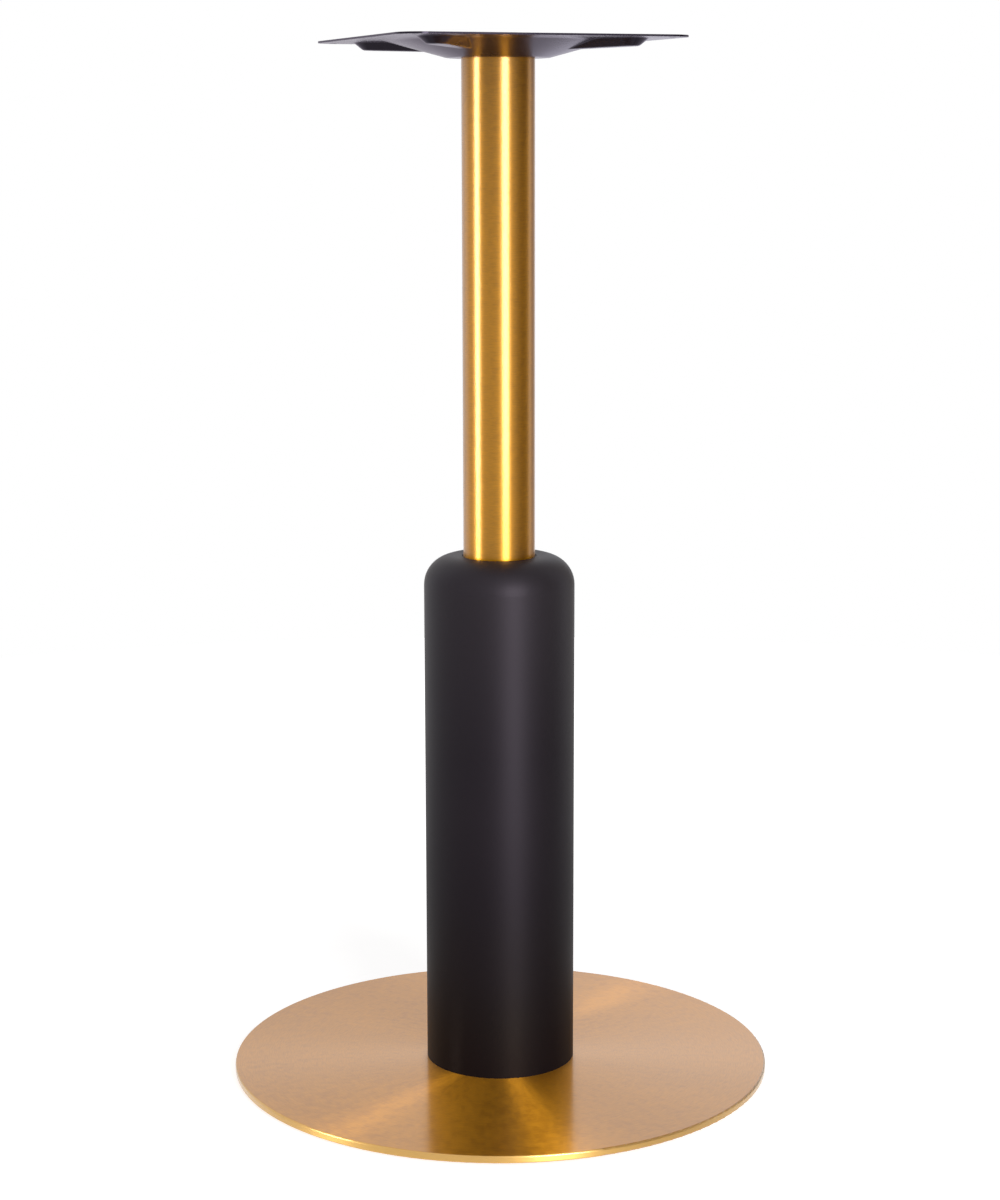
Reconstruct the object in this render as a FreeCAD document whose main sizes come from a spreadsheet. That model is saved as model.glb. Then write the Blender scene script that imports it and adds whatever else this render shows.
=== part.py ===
import FreeCAD, Part
import Sketcher
import math
import os

# Pedestal base for a bar table. A round brass-finished foot disc carries a black sleeve with a rounded
# shoulder. A brass-finished tube rises through the sleeve to a square plate of pressed steel, which a
# table top is screwed to. A tie rod inside the tube clamps plate, tube and foot disc together.
# The base stands on the floor: +Z is up, and the origin is on the column's axis at floor level.
# Lengths are millimetres.

os.makedirs("parts", exist_ok=True)
doc = FreeCAD.newDocument("pedestal_base")

# Driving sizes, one row of the sheet each: alias, value and meaning
DRIVING_SIZES = [
    ("overall_height", 1100.0, "floor to the plate's top face"),
    ("disc_diameter", 580.0, "foot disc, outside"),
    ("disc_thickness", 8.0, "foot disc, hem to top face"),
    ("skin_wall", 1.0, "brass-finished skin of the foot disc"),
    ("skin_edge_radius", 1.8, "outside rounding of the skin's edges"),
    ("hem_width", 12.0, "skin folded in under the disc"),
    ("weight_gap", 0.2, "steel weight to the skin's rim"),
    ("weight_bevel", 1.0, "broken edges of the steel weight"),
    ("pad_lift", 3.0, "floor to the skin's hem"),
    ("pad_diameter", 36.0, "floor pad, at the floor"),
    ("pad_margin", 5.0, "floor pad to the hem"),
    ("pad_taper", 2.0, "floor pad, narrower at its top on each side"),
    ("pad_count", 6, "floor pads"),
    ("pad_screw_diameter", 4.0, "pad screw, shank"),
    ("pad_screw_head", 8.0, "pad screw, head"),
    ("pad_screw_sunk", 0.6, "pad screw's head above the floor"),
    ("pad_screw_cover", 1.5, "weight left over a pad screw's tip"),
    ("pad_hole_cover", 0.75, "weight left over a pad screw's tapped hole"),
    ("sleeve_diameter", 160.0, "black sleeve, outside"),
    ("sleeve_top", 565.5, "floor to the sleeve's flat top"),
    ("sleeve_wall", 2.0, "sleeve sheet"),
    ("sleeve_shoulder", 31.0, "outside radius of the sleeve's shoulder"),
    ("sleeve_hole_gap", 1.2, "sleeve's top hole to the tube, all round"),
    ("sleeve_lip_radius", 0.8, "rounding of the sleeve's top hole"),
    ("ring_thickness", 8.0, "ring welded in the sleeve's foot"),
    ("ring_gap", 0.2, "ring's bore to the tube, all round"),
    ("ring_bevel", 1.0, "bevels of the ring's bore"),
    ("sleeve_screw_count", 4, "sleeve screws"),
    ("sleeve_screw_diameter", 6.0, "sleeve screw, shank"),
    ("sleeve_screw_head", 12.0, "sleeve screw, head"),
    ("sleeve_screw_cover", 2.0, "ring left over a sleeve screw's tip"),
    ("driver_flats", 4.0, "hexagon socket in a sleeve screw's head, across flats"),
    ("driver_depth", 2.0, "hexagon socket in a sleeve screw's head, depth"),
    ("screw_gap", 0.3, "clearance hole to a screw's shank and head, all round"),
    ("thread_gap", 0.05, "tapped hole to its thread, all round"),
    ("tube_diameter", 76.0, "brass-finished tube, outside"),
    ("tube_wall", 1.5, "tube wall"),
    ("guide_flange", 4.5, "guide ring's flange, out from the sleeve's hole"),
    ("guide_thickness", 2.5, "guide ring's flange"),
    ("guide_gap", 0.15, "guide ring to the tube and to the sleeve's hole"),
    ("guide_setback", 0.9, "guide ring's top below the sleeve's top"),
    ("plate_side", 305.0, "square top plate"),
    ("plate_sheet", 2.0, "top plate's sheet"),
    ("plate_corner", 25.0, "corner radius of the top plate"),
    ("dish_depth", 17.5, "rim down to the boss at the plate's centre"),
    ("dish_boss_radius", 53.0, "flat boss that sits on the tube"),
    ("dish_rim_radius", 118.0, "where the dish meets the flat rim"),
    ("arm_root_radius", 24.0, "centre to where an arm's pressing starts"),
    ("arm_reach", 164.0, "centre to an arm's end at the rim"),
    ("arm_mouth_width", 40.0, "pressed arm, across at the rim"),
    ("arm_floor_width", 21.0, "pressed arm, across its floor at its end"),
    ("arm_root_depth", 12.2, "arm depth at its root"),
    ("arm_end_depth", 7.6, "arm depth at its end"),
    ("arm_trim", 0.5, "drafted depth that an arm's sloping floor cuts off at its root"),
    ("dish_boss_bend", 10.0, "inside radius of the dish's bend at the boss"),
    ("dish_rim_bend", 40.0, "inside radius of the dish's bend at the rim"),
    ("press_bend", 4.0, "inside radius of the arms' bends"),
    ("top_screw_margin", 18.0, "table-top screw hole to the plate's edges"),
    ("top_screw_hole", 7.0, "table-top screw hole"),
    ("rod_diameter", 12.0, "tie rod, over its thread"),
    ("rod_bevel", 1.2, "bevels of the tie rod's ends"),
    ("rod_foot_gap", 3.0, "weight's top to the tie rod's foot"),
    ("rod_proud", 1.5, "tie rod's end above the top nut"),
    ("rod_hole_gap", 0.25, "plain hole to the tie rod, all round"),
    ("nut_flats", 19.0, "anchor nut and top nut, across flats"),
    ("nut_bevel", 1.0, "bevel of the nuts' corners, down"),
    ("nut_bevel_run", 2.0, "bevel of the nuts' corners, inwards"),
    ("anchor_height", 36.0, "long anchor nut"),
    ("anchor_hole_gap", 1.5, "skin's centre hole to the anchor nut's corners"),
    ("nut_height", 10.0, "top nut"),
    ("washer_diameter", 44.0, "wide top washer"),
    ("washer_thickness", 2.5, "wide top washer"),
    ("spring_diameter", 21.0, "split spring washer"),
    ("spring_thickness", 2.5, "split spring washer"),
    ("spring_slit", 1.6, "slit of the spring washer"),
    ("spigot_height", 8.0, "spigot that centres the tube's top"),
    ("spigot_gap", 0.2, "spigot to the tube, all round"),
    ("spigot_bevel", 1.5, "lead-in bevel of the spigot"),
]

sheet = doc.addObject("Spreadsheet::Sheet", "Sizes")
for row, (alias, value, meaning) in enumerate(DRIVING_SIZES, start=1):
    sheet.set("A%d" % row, meaning)
    sheet.set("B%d" % row, str(value))
    sheet.setAlias("B%d" % row, alias)
doc.recompute()

# Radii and levels that several pieces share, as expressions on the driving sizes
DISC_R = "Sizes.disc_diameter / 2"
DISC_TOP = "(Sizes.pad_lift + Sizes.disc_thickness)"
WEIGHT_FOOT = "(Sizes.pad_lift + Sizes.skin_wall)"
WEIGHT_THICKNESS = "(Sizes.disc_thickness - 2 * Sizes.skin_wall)"
WEIGHT_TOP = "(Sizes.pad_lift + Sizes.disc_thickness - Sizes.skin_wall)"
PAD_R = "(Sizes.pad_diameter / 2)"
PAD_CIRCLE_R = (
    "(Sizes.disc_diameter / 2 - Sizes.hem_width - Sizes.pad_margin - Sizes.pad_diameter / 2)"
)
SLEEVE_BORE_R = "(Sizes.sleeve_diameter / 2 - Sizes.sleeve_wall)"
SLEEVE_HOLE_R = "(Sizes.tube_diameter / 2 + Sizes.sleeve_hole_gap)"
TUBE_R = "(Sizes.tube_diameter / 2)"
TUBE_BORE_R = "(Sizes.tube_diameter / 2 - Sizes.tube_wall)"
RING_BORE_R = "(Sizes.tube_diameter / 2 + Sizes.ring_gap)"
SLEEVE_SCREW_CIRCLE_R = "((%s + %s) / 2)" % (RING_BORE_R, SLEEVE_BORE_R)
RIM_UNDERSIDE = "(Sizes.overall_height - Sizes.plate_sheet)"
BOSS_UNDERSIDE = "(Sizes.overall_height - Sizes.plate_sheet - Sizes.dish_depth)"
DISH_FLOOR = "(Sizes.overall_height - Sizes.dish_depth)"
ROD_R = "(Sizes.rod_diameter / 2)"
ROD_HOLE_R = "(Sizes.rod_diameter / 2 + Sizes.rod_hole_gap)"
TAPPED_ROD_R = "(Sizes.rod_diameter / 2 + Sizes.thread_gap)"
NUT_CORNER_R = "(Sizes.nut_flats / sqrt(3))"
TOP_STACK = "(Sizes.washer_thickness + Sizes.spring_thickness + Sizes.nut_height)"


def worth(expression):
    """The value that an expression on the driving sizes has now."""
    return float(sheet.evalExpression(expression.replace("Sizes.", "")))


def new_body(label, level="0", turn=0.0):
    """An empty body that stands at a level above the floor, turned about the column's axis."""
    body = doc.addObject("PartDesign::Body", label)
    body.Label = label
    body.Placement.Rotation = FreeCAD.Rotation(FreeCAD.Vector(0, 0, 1), turn)
    body.setExpression("Placement.Base.z", level)
    return body


def origin_feature(body, role):
    """One of the body's own origin planes or axes."""
    return [feature for feature in body.Origin.OriginFeatures if feature.Role == role][0]


def new_sketch(body, name, role):
    """An empty sketch on one of the body's own origin planes."""
    sketch = body.newObject("Sketcher::SketchObject", name)
    sketch.AttachmentSupport = [(origin_feature(body, role), "")]
    sketch.MapMode = "FlatFace"
    return sketch


def bind(sketch, kind, places, expression):
    """A dimension of the sketch that follows an expression."""
    index = sketch.addConstraint(Sketcher.Constraint(kind, *places, worth(expression)))
    name = "%s_%d" % (kind, index)
    sketch.renameConstraint(index, name)
    sketch.setExpression("Constraints." + name, expression)


def draw_outline(body, name, role, corners):
    """A closed outline of straight edges, round at the corners that give a radius.

    Each corner is an expression across, an expression up and, where it is round, one for its radius.
    """
    sketch = new_sketch(body, name, role)
    points = [FreeCAD.Vector(worth(corner[0]), worth(corner[1]), 0) for corner in corners]
    count = len(points)
    radii = [worth(corner[2]) if len(corner) == 3 else 0.0 for corner in corners]
    ends = [round_ends(points[k - 1], points[k], points[(k + 1) % count], radii[k])
            for k in range(count)]
    for k in range(count):
        sketch.addGeometry(Part.LineSegment(ends[k][1], ends[(k + 1) % count][0]), False)
    for k, corner in enumerate(corners):
        if radii[k]:
            place = round_corner(sketch, points[k], ends[k], k - 1 if k else count - 1, k, corner[2])
        else:
            sketch.addConstraint(Sketcher.Constraint("Coincident", (k - 1) % count, 2, k, 1))
            place = k
        bind(sketch, "DistanceX", (-1, 1, place, 1), corner[0])
        bind(sketch, "DistanceY", (-1, 1, place, 1), corner[1])
    return sketch


def round_ends(before, point, after, radius):
    """Where a round corner's arc starts and ends."""
    back = (before - point).normalize()
    onward = (after - point).normalize()
    reach = radius / math.tan(back.getAngle(onward) / 2)
    return point + back * reach, point + onward * reach


def round_corner(sketch, point, ends, edge_in, edge_out, radius):
    """Adds a round corner's arc, tangent to its two edges, and the corner point that they aim at."""
    start, end = ends
    back, onward = start - point, end - point
    middle = (back + onward).normalize()
    depth = worth(radius) / math.sin(back.getAngle(onward) / 2)
    centre = point + middle * depth
    left_turn = (point - start).cross(end - point).z > 0
    if not left_turn:
        start, end = end, start
    first = math.atan2(start.y - centre.y, start.x - centre.x)
    last = math.atan2(end.y - centre.y, end.x - centre.x)
    circle = Part.Circle(centre, FreeCAD.Vector(0, 0, 1), worth(radius))
    last += 2 * math.pi if last < first else 0.0
    arc = sketch.addGeometry(Part.ArcOfCircle(circle, first, last), False)
    arc_in, arc_out = (1, 2) if left_turn else (2, 1)
    sketch.addConstraint(Sketcher.Constraint("Tangent", edge_in, 2, arc, arc_in))
    sketch.addConstraint(Sketcher.Constraint("Tangent", arc, arc_out, edge_out, 1))
    bind(sketch, "Radius", (arc,), radius)
    corner = sketch.addGeometry(Part.Point(point), True)
    sketch.addConstraint(Sketcher.Constraint("PointOnObject", corner, 1, edge_in))
    sketch.addConstraint(Sketcher.Constraint("PointOnObject", corner, 1, edge_out))
    return corner


def draw_circle(body, name, radius, along="0"):
    """A circle on the XY plane with its centre on the X axis."""
    sketch = new_sketch(body, name, "XY_Plane")
    centre = FreeCAD.Vector(worth(along), 0, 0)
    sketch.addGeometry(Part.Circle(centre, FreeCAD.Vector(0, 0, 1), worth(radius)), False)
    bind(sketch, "Radius", (0,), radius)
    bind(sketch, "DistanceX", (-1, 1, 0, 3), along)
    sketch.addConstraint(Sketcher.Constraint("PointOnObject", 0, 3, -1))
    return sketch


def draw_hexagon(body, name, flats):
    """A regular hexagon about the origin of the XY plane, two corners on the X axis."""
    corner = "%s / sqrt(3)" % flats
    corners = [
        ("%s * cos(%d deg)" % (corner, 60 * k), "%s * sin(%d deg)" % (corner, 60 * k))
        for k in range(6)
    ]
    return draw_outline(body, name, "XY_Plane", corners)


def finish_feature(body, feature):
    """Makes a feature the body's tip and stops if it failed."""
    body.Tip = feature
    doc.recompute()
    if feature.Shape.isNull() or not feature.Shape.isValid():
        raise RuntimeError("%s failed in %s" % (feature.Name, body.Label))
    return feature


def pad(body, sketch, length):
    """Material from the sketch upwards."""
    feature = body.newObject("PartDesign::Pad", sketch.Name + "_pad")
    feature.Profile = sketch
    feature.setExpression("Length", length)
    return finish_feature(body, feature)


def pocket_through(body, sketch):
    """A cut right through the body, both ways from the sketch."""
    before = body.Shape.Volume
    feature = body.newObject("PartDesign::Pocket", sketch.Name + "_pocket")
    feature.Profile = sketch
    feature.Type = "ThroughAll"
    feature.SideType = "Symmetric"
    finish_feature(body, feature)
    check_cut(body, before)
    return feature


def check_cut(body, before):
    if body.Shape.Volume >= before:
        raise RuntimeError("%s cut nothing from %s" % (body.Tip.Name, body.Label))


def revolve(body, name, corners, centre="0"):
    """Turns an outline of (radius, height) corners about a vertical axis on the X axis."""
    sketch = draw_outline(body, name + "_outline", "XZ_Plane", moved_out(corners, centre))
    feature = body.newObject("PartDesign::Revolution", name)
    turn_about(feature, sketch, centre)
    return finish_feature(body, feature)


def groove(body, name, corners, centre="0"):
    """Cuts an outline of (radius, height) corners away, about a vertical axis on the X axis."""
    before = body.Shape.Volume
    sketch = draw_outline(body, name + "_outline", "XZ_Plane", moved_out(corners, centre))
    feature = body.newObject("PartDesign::Groove", name)
    turn_about(feature, sketch, centre)
    finish_feature(body, feature)
    check_cut(body, before)
    return feature


def moved_out(corners, centre):
    """Corners of an outline whose own axis stands at a place on the X axis."""
    return [("%s + %s" % (centre, corner[0]),) + tuple(corner[1:]) for corner in corners]


def turn_about(feature, sketch, centre):
    """Gives a turned feature its axis: a construction line of its own sketch."""
    start = FreeCAD.Vector(worth(centre), 0, 0)
    line = Part.LineSegment(start, start + FreeCAD.Vector(0, 1, 0))
    axis = sketch.addGeometry(line, True)
    bind(sketch, "DistanceX", (-1, 1, axis, 1), centre)
    sketch.addConstraint(Sketcher.Constraint("Vertical", axis))
    sketch.addConstraint(Sketcher.Constraint("PointOnObject", axis, 1, -1))
    bind(sketch, "DistanceY", (axis, 1, axis, 2), "1")
    feature.Profile = sketch
    feature.ReferenceAxis = (sketch, ["Axis0"])
    feature.Angle = 360.0


def repeat_round(body, count, feature=None):
    """Repeats one feature, or else the whole body so far, round the body's Z axis."""
    pattern = body.newObject("PartDesign::PolarPattern", body.Tip.Name + "_round")
    if feature is None:
        pattern.TransformMode = "Whole shape"
    else:
        pattern.Originals = [feature]
    pattern.Axis = (origin_feature(body, "Z_Axis"), [""])
    pattern.Angle = 360.0
    pattern.setExpression("Occurrences", count)
    return finish_feature(body, pattern)


def circles_at(body, radius, height):
    """The body's circular edges about its Z axis that have a radius and a height."""
    found = []
    shape = body.Tip.Shape
    for k, edge in enumerate(shape.Edges, start=1):
        curve = edge.Curve
        if not isinstance(curve, Part.Circle) or abs(curve.Radius - worth(radius)) > 1e-4:
            continue
        if (curve.Center - FreeCAD.Vector(0, 0, worth(height))).Length < 1e-4:
            found.append("Edge%d" % k)
    if not found:
        raise RuntimeError("%s has no edge at radius %s" % (body.Label, radius))
    return found


def dress(body, kind, name, edges, reach):
    """A fillet or chamfer of some of the body's edges."""
    base = body.Tip
    feature = body.newObject("PartDesign::" + kind, name)
    feature.Base = (base, edges)
    feature.setExpression("Radius" if kind == "Fillet" else "Size", reach)
    return finish_feature(body, feature)


# Foot disc: the brass-finished skin, its steel weight, and the pads under it

def make_base_cover():
    """Skin of the foot disc, spun over the weight and hemmed in under it."""
    body = new_body("base_cover", "Sizes.pad_lift")
    hole_r = "(%s + Sizes.anchor_hole_gap)" % NUT_CORNER_R
    inner_r = "(%s - Sizes.skin_wall)" % DISC_R
    hem_r = "(%s - Sizes.hem_width)" % DISC_R
    under_top = "(Sizes.disc_thickness - Sizes.skin_wall)"
    revolve(body, "skin", [
        (hole_r, under_top),
        (inner_r, under_top),
        (inner_r, "Sizes.skin_wall"),
        (hem_r, "Sizes.skin_wall"),
        (hem_r, "0"),
        (DISC_R, "0"),
        (DISC_R, "Sizes.disc_thickness"),
        (hole_r, "Sizes.disc_thickness"),
    ])
    outside = circles_at(body, DISC_R, "Sizes.disc_thickness") + circles_at(body, DISC_R, "0")
    dress(body, "Fillet", "skin_edges", outside, "Sizes.skin_edge_radius")
    hole = draw_circle(
        body, "skin_screw_hole", "Sizes.sleeve_screw_diameter / 2 + Sizes.screw_gap",
        SLEEVE_SCREW_CIRCLE_R,
    )
    repeat_round(body, "Sizes.sleeve_screw_count", pocket_through(body, hole))
    return body


def make_base_weight():
    """Steel disc inside the skin, drilled and countersunk from below for the sleeve screws."""
    body = new_body("base_weight", WEIGHT_FOOT)
    radius = "(%s - Sizes.skin_wall - Sizes.weight_gap)" % DISC_R
    revolve(body, "weight", [
        ("0", "0"), (radius, "0"), (radius, WEIGHT_THICKNESS), ("0", WEIGHT_THICKNESS),
    ])
    rim = circles_at(body, radius, "0") + circles_at(body, radius, WEIGHT_THICKNESS)
    dress(body, "Chamfer", "weight_edges", rim, "Sizes.weight_bevel")
    shank = "Sizes.sleeve_screw_diameter / 2 + Sizes.screw_gap"
    head = "Sizes.sleeve_screw_head / 2 + Sizes.screw_gap"
    sink = "(Sizes.sleeve_screw_head / 2 - Sizes.sleeve_screw_diameter / 2)"
    countersink = groove(body, "sleeve_screw_hole", [
        ("0", "0"), (head, "0"), (shank, sink), (shank, WEIGHT_THICKNESS), ("0", WEIGHT_THICKNESS),
    ], SLEEVE_SCREW_CIRCLE_R)
    repeat_round(body, "Sizes.sleeve_screw_count", countersink)
    bore = "Sizes.pad_screw_diameter / 2 + Sizes.thread_gap"
    deep = "(%s - Sizes.pad_hole_cover)" % WEIGHT_THICKNESS
    tapped = groove(body, "pad_screw_hole", [
        ("0", "0"), (bore, "0"), (bore, deep), ("0", deep),
    ], PAD_CIRCLE_R)
    repeat_round(body, "Sizes.pad_count", tapped)
    return body


def make_floor_pad(number):
    """One round pad under the weight, with a recess for its screw."""
    body = new_body("floor_pad_%d" % number)
    turn = 360.0 * (number - 1) / round(worth("Sizes.pad_count"))
    body.Placement.Rotation = FreeCAD.Rotation(FreeCAD.Vector(0, 0, 1), turn)
    foot = "Sizes.pad_screw_sunk"
    sink = "(Sizes.pad_screw_sunk + Sizes.pad_screw_head / 2 - Sizes.pad_screw_diameter / 2)"
    shank = "(Sizes.pad_screw_diameter / 2 + Sizes.screw_gap)"
    head = "(Sizes.pad_screw_head / 2 + Sizes.screw_gap)"
    revolve(body, "pad", [
        (head, "0"),
        (PAD_R, "0"),
        (PAD_R, "%s / 2" % WEIGHT_FOOT),
        ("(%s - Sizes.pad_taper)" % PAD_R, WEIGHT_FOOT),
        (shank, WEIGHT_FOOT),
        (shank, sink),
        (head, foot),
    ], PAD_CIRCLE_R)
    return body


def make_pad_screws():
    """Countersunk screws that hold the pads, one for each."""
    body = new_body("pad_screws")
    body.AllowCompound = True
    foot = "Sizes.pad_screw_sunk"
    sink = "(Sizes.pad_screw_sunk + Sizes.pad_screw_head / 2 - Sizes.pad_screw_diameter / 2)"
    tip = "(%s - Sizes.pad_screw_cover)" % WEIGHT_TOP
    head = "Sizes.pad_screw_head / 2"
    shank = "Sizes.pad_screw_diameter / 2"
    revolve(body, "pad_screw", [
        ("0", foot), (head, foot), (shank, sink), (shank, tip), ("0", tip),
    ], PAD_CIRCLE_R)
    repeat_round(body, "Sizes.pad_count")
    return body


def make_anchor_nut():
    """Long nut welded on the weight, which the tie rod screws into."""
    return make_nut("anchor_nut", WEIGHT_TOP, "Sizes.anchor_height")


def make_nut(label, level, height):
    body = new_body(label, level)
    pad(body, draw_hexagon(body, "hexagon", "Sizes.nut_flats"), height)
    pocket_through(body, draw_circle(body, "thread", TAPPED_ROD_R))
    groove(body, "corner_bevel", [
        ("%s - Sizes.nut_bevel_run" % NUT_CORNER_R, height),
        ("%s + Sizes.nut_bevel_run" % NUT_CORNER_R, height),
        ("%s + Sizes.nut_bevel_run" % NUT_CORNER_R, "%s - 2 * Sizes.nut_bevel" % height),
    ])
    return body


# Sleeve: the black shell, the ring in its foot, its screws from below and the guide ring at its top

def make_sleeve():
    """Black shell, open below, closed above by a rounded shoulder with a hole for the tube."""
    body = new_body("sleeve", DISC_TOP)
    tall = "(Sizes.sleeve_top - %s)" % DISC_TOP
    radius = "(Sizes.sleeve_diameter / 2)"
    pad(body, draw_circle(body, "sleeve_round", radius), tall)
    dress(body, "Fillet", "shoulder", circles_at(body, radius, tall), "Sizes.sleeve_shoulder")
    rounded = body.Tip
    shell = body.newObject("PartDesign::Thickness", "shell")
    shell.Base = (rounded, [lowest_face(rounded)])
    shell.setExpression("Value", "Sizes.sleeve_wall")
    shell.Reversed = True
    finish_feature(body, shell)
    pocket_through(body, draw_circle(body, "tube_hole", SLEEVE_HOLE_R))
    lip = circles_at(body, SLEEVE_HOLE_R, tall)
    dress(body, "Fillet", "tube_hole_lip", lip, "Sizes.sleeve_lip_radius")
    return body


def lowest_face(feature):
    faces = feature.Shape.Faces
    heights = [face.CenterOfMass.z for face in faces]
    return "Face%d" % (heights.index(min(heights)) + 1)


def make_sleeve_ring():
    """Ring welded in the sleeve's foot, which centres the tube and takes the sleeve screws."""
    body = new_body("sleeve_ring", DISC_TOP)
    revolve(body, "ring", [
        (RING_BORE_R, "0"),
        (SLEEVE_BORE_R, "0"),
        (SLEEVE_BORE_R, "Sizes.ring_thickness"),
        (RING_BORE_R, "Sizes.ring_thickness"),
    ])
    bore = circles_at(body, RING_BORE_R, "Sizes.ring_thickness")
    dress(body, "Chamfer", "lead_in", bore, "Sizes.ring_bevel")
    thread = "Sizes.sleeve_screw_diameter / 2 + Sizes.thread_gap"
    hole = draw_circle(body, "ring_thread", thread, SLEEVE_SCREW_CIRCLE_R)
    repeat_round(body, "Sizes.sleeve_screw_count", pocket_through(body, hole))
    return body


def make_sleeve_screws():
    """Countersunk screws up through the weight and the skin into the ring."""
    body = new_body("sleeve_screws", WEIGHT_FOOT)
    body.AllowCompound = True
    sink = "(Sizes.sleeve_screw_head / 2 - Sizes.sleeve_screw_diameter / 2)"
    tip = "(%s - %s + Sizes.ring_thickness - Sizes.sleeve_screw_cover)" % (DISC_TOP, WEIGHT_FOOT)
    head = "Sizes.sleeve_screw_head / 2"
    shank = "Sizes.sleeve_screw_diameter / 2"
    socket = "Sizes.driver_flats / 2"
    revolve(body, "sleeve_screw", [
        (socket, "0"),
        (head, "0"),
        (shank, sink),
        (shank, tip),
        ("0", tip),
        ("0", "Sizes.driver_depth"),
        (socket, "Sizes.driver_depth"),
    ], SLEEVE_SCREW_CIRCLE_R)
    repeat_round(body, "Sizes.sleeve_screw_count")
    return body


def make_guide_ring():
    """Nylon ring pressed up into the sleeve's top hole, which keeps the tube off the metal."""
    under_top = "(Sizes.sleeve_top - Sizes.sleeve_wall)"
    body = new_body("guide_ring", "%s - Sizes.guide_thickness" % under_top)
    bore = "(%s + Sizes.guide_gap)" % TUBE_R
    collar = "(%s - Sizes.guide_gap)" % SLEEVE_HOLE_R
    flange = "(%s + Sizes.guide_flange)" % SLEEVE_HOLE_R
    collar_top = "(Sizes.guide_thickness + Sizes.sleeve_wall - Sizes.guide_setback)"
    revolve(body, "guide", [
        (bore, "0"),
        (flange, "0"),
        (flange, "Sizes.guide_thickness"),
        (collar, "Sizes.guide_thickness"),
        (collar, collar_top),
        (bore, collar_top),
    ])
    return body


# Column: the brass-finished tube and the tie rod in it

def make_column_tube():
    """Tube from the foot disc to the plate's boss."""
    body = new_body("column_tube", DISC_TOP)
    pad(body, draw_circle(body, "tube_round", TUBE_R), "%s - %s" % (BOSS_UNDERSIDE, DISC_TOP))
    pocket_through(body, draw_circle(body, "tube_bore", TUBE_BORE_R))
    return body


def make_tie_rod():
    """Threaded rod from the anchor nut to the top nut."""
    body = new_body("tie_rod", "%s + Sizes.rod_foot_gap" % WEIGHT_TOP)
    top = "%s + %s + Sizes.rod_proud" % (DISH_FLOOR, TOP_STACK)
    length = "(%s - %s - Sizes.rod_foot_gap)" % (top, WEIGHT_TOP)
    pad(body, draw_circle(body, "rod_round", ROD_R), length)
    ends = circles_at(body, ROD_R, "0") + circles_at(body, ROD_R, length)
    dress(body, "Chamfer", "rod_ends", ends, "Sizes.rod_bevel")
    return body


# Top: the spigot in the tube, the pressed plate, and the washers and nut in its dish

def make_top_spigot():
    """Turned disc under the plate's boss, which centres the tube's top."""
    body = new_body("top_spigot", "%s - Sizes.spigot_height" % BOSS_UNDERSIDE)
    radius = "(%s - Sizes.spigot_gap)" % TUBE_BORE_R
    revolve(body, "spigot", [
        (ROD_HOLE_R, "0"),
        (radius, "0"),
        (radius, "Sizes.spigot_height"),
        (ROD_HOLE_R, "Sizes.spigot_height"),
    ])
    dress(body, "Chamfer", "lead_in", circles_at(body, radius, "0"), "Sizes.spigot_bevel")
    return body


def draft_sides(body, angle):
    """Leans the sides of an arm in towards its floor, from where they meet the rim's face."""
    straight = body.Tip
    sides = [
        "Face%d" % k for k, face in enumerate(straight.Shape.Faces, start=1)
        if face.BoundBox.ZLength > 1.0 and face.BoundBox.XLength > 1.0
    ]
    draft = body.newObject("PartDesign::Draft", "arm_draft")
    draft.Base = (straight, sides)
    draft.NeutralPlane = (origin_feature(body, "XY_Plane"), [""])
    draft.Reversed = True
    draft.setExpression("Angle", angle)
    return finish_feature(body, draft)


def draw_arm(body, name, reach, width):
    """Outline of an arm along the X axis: parallel sides, a straight root and a round end."""
    sketch = new_sketch(body, name, "XY_Plane")
    half = "(%s / 2)" % width
    centre = "(%s - %s)" % (reach, half)
    root = "Sizes.arm_root_radius"
    x_root, x_end, y_side = worth(root), worth(centre), worth(half)
    near_root = FreeCAD.Vector(x_root, -y_side, 0)
    near_end = FreeCAD.Vector(x_end, -y_side, 0)
    far_end = FreeCAD.Vector(x_end, y_side, 0)
    far_root = FreeCAD.Vector(x_root, y_side, 0)
    tip = FreeCAD.Vector(x_end + y_side, 0, 0)
    near, round_end, far, straight = 0, 1, 2, 3
    sketch.addGeometry(Part.LineSegment(near_root, near_end), False)
    sketch.addGeometry(Part.Arc(near_end, tip, far_end), False)
    sketch.addGeometry(Part.LineSegment(far_end, far_root), False)
    sketch.addGeometry(Part.LineSegment(far_root, near_root), False)
    for kind, places in (
        ("Tangent", (near, 2, round_end, 1)),
        ("Tangent", (round_end, 2, far, 1)),
        ("Coincident", (far, 2, straight, 1)),
        ("Coincident", (straight, 2, near, 1)),
        ("Horizontal", (near,)),
        ("Horizontal", (far,)),
        ("Vertical", (straight,)),
        ("PointOnObject", (round_end, 3, -1)),
    ):
        sketch.addConstraint(Sketcher.Constraint(kind, *places))
    bind(sketch, "DistanceX", (-1, 1, near, 1), root)
    bind(sketch, "DistanceX", (-1, 1, round_end, 3), centre)
    bind(sketch, "Radius", (round_end,), half)
    return sketch


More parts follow.
